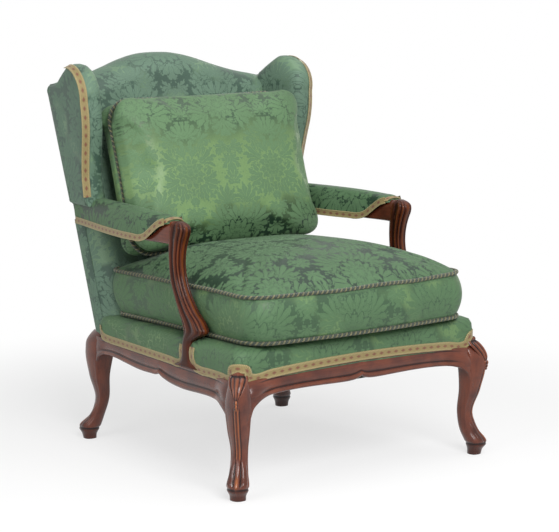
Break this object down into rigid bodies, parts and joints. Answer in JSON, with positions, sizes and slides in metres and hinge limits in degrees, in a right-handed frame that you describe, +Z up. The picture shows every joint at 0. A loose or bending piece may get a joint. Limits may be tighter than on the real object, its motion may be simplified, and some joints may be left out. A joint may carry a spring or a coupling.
{
  "type": "wing armchair",
  "caption": "Traditional wing armchair with a carved curved-leg wooden frame, open padded arms, damask upholstery edged with braid, and loose corded seat and back cushions.",
  "frame": {"origin": "on the floor under the middle of the chair's box", "axes": "+Z up, the chair faces -Y, +X is the viewer's right when facing the chair"},
  "size_m": [0.783, 0.9512, 0.983],
  "materials": {
    "carved_wood": "gloss",
    "frame_wood": "matte",
    "damask": "satin",
    "cushion_damask": "satin",
    "rope_cord": "satin",
    "braid": "matte",
    "filling": "matte",
    "webbing": "matte",
    "canvas": "matte",
    "dust_cloth": "matte",
    "spring_steel": "satin"
  },
  "bodies": {
    "chair_frame": {"front_leg_left": "carved_wood", "front_leg_right": "carved_wood", "rear_leg_left": "carved_wood", "rear_leg_right": "carved_wood", "front_seat_rail": "carved_wood", "rear_seat_rail": "carved_wood", "side_seat_rail_left": "carved_wood", "side_seat_rail_right": "carved_wood", "arm_support_left": "carved_wood", "arm_support_right": "carved_wood", "arm_rail_left": "carved_wood", "arm_rail_right": "carved_wood", "back_top_rail": "frame_wood", "back_bottom_rail": "frame_wood", "corner_blocks": "frame_wood", "frame_dowels": "frame_wood", "wing_frame_left": "frame_wood", "wing_frame_right": "frame_wood", "back_pad": "damask", "outside_back": "damask", "seat_deck": "damask", "wing_pad_left": "damask", "wing_pad_right": "damask", "wing_cover_left": "damask", "wing_cover_right": "damask", "side_panel_left": "damask", "side_panel_right": "damask", "arm_pad_left": "damask", "arm_pad_right": "damask", "braid_wing_left": "braid", "braid_wing_right": "braid", "braid_arm_left": "braid", "braid_arm_right": "braid", "braid_seat_front": "braid", "braid_seat_left": "braid", "braid_seat_right": "braid", "seat_webbing": "webbing", "back_webbing": "webbing", "seat_canvas": "canvas", "back_canvas": "canvas", "dust_cover": "dust_cloth", "seat_springs": "spring_steel", "corner_block_screws": "spring_steel"},
    "seat_cushion": {"seat_cushion_cover": "cushion_damask", "seat_cushion_core": "filling", "seat_cushion_cord_top": "rope_cord", "seat_cushion_cord_bottom": "rope_cord"},
    "back_cushion": {"back_cushion_cover": "cushion_damask", "back_cushion_core": "filling", "back_cushion_cord": "rope_cord"}
  },
  "joints": [
    {"name": "seat_cushion_slide", "type": "slide", "parent": "chair_frame", "child": "seat_cushion", "axis": [0, -0.9397, 0.342], "range_m": [0, 0.72]},
    {"name": "back_cushion_lift", "type": "slide", "parent": "seat_cushion", "child": "back_cushion", "axis": [0, 0.2957, 0.9553], "range_m": [0, 0.5]}
  ]
}
